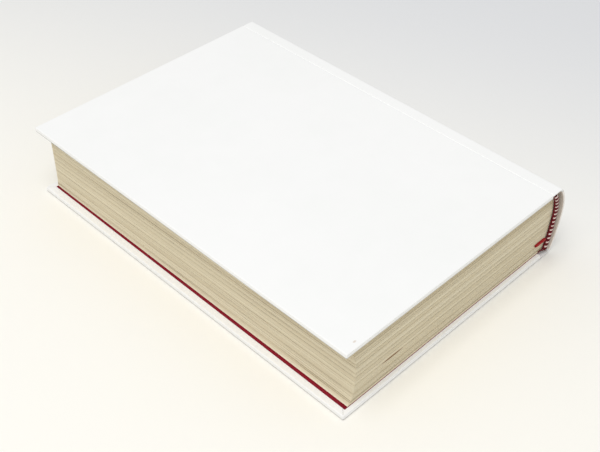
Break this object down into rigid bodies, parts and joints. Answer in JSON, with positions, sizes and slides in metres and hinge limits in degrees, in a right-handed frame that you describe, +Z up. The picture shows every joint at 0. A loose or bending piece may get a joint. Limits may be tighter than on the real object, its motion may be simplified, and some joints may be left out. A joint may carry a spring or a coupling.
{
  "type": "hardback book",
  "caption": "Closed hardback book: sewn cream text block with rounded spine and hollow fore-edge, hinged white covers, red endpapers, striped headbands and a red ribbon marker.",
  "frame": {"origin": "middle of the footprint of the closed book, on the surface it lies on (outer face of the back cover)", "axes": "+Z up through the thickness towards the front cover, +Y along the height towards the head, +X across the cover from the spine towards the fore-edge"},
  "size_m": [0.1562, 0.216, 0.0415],
  "materials": {
    "pages": "uncoated cream book paper, seen edge on",
    "endpaper": "matt dark red endpaper",
    "board": "grey bookbinding board",
    "covering": "white fine-grained covering paper, satin",
    "mull": "open-weave binding gauze",
    "stiffener": "thin flexible card",
    "lining": "brown crepe lining paper",
    "band_thread": "dark red and white silk thread",
    "ribbon": "red woven satin ribbon"
  },
  "bodies": {
    "text_block": {"text_block": "pages", "front_flyleaf": "endpaper", "back_flyleaf": "endpaper", "spine_covering": "covering", "spine_stiffener": "stiffener", "spine_mull": "mull", "spine_lining": "lining", "headband": "band_thread", "tailband": "band_thread", "ribbon_marker": "ribbon"},
    "front_cover": {"front_board": "board", "front_covering": "covering", "front_pastedown": "endpaper", "front_mull_flange": "mull"},
    "back_cover": {"back_board": "board", "back_covering": "covering", "back_pastedown": "endpaper", "back_mull_flange": "mull"}
  },
  "joints": [
    {"name": "front_joint", "type": "hinge", "parent": "text_block", "child": "front_cover", "pos_m": [-0.06835, 0, 0.0415], "axis": [0, -1, 0], "range_deg": [0, 180]},
    {"name": "back_joint", "type": "hinge", "parent": "text_block", "child": "back_cover", "pos_m": [-0.06835, 0, 0], "axis": [0, 1, 0], "range_deg": [0, 180]}
  ]
}
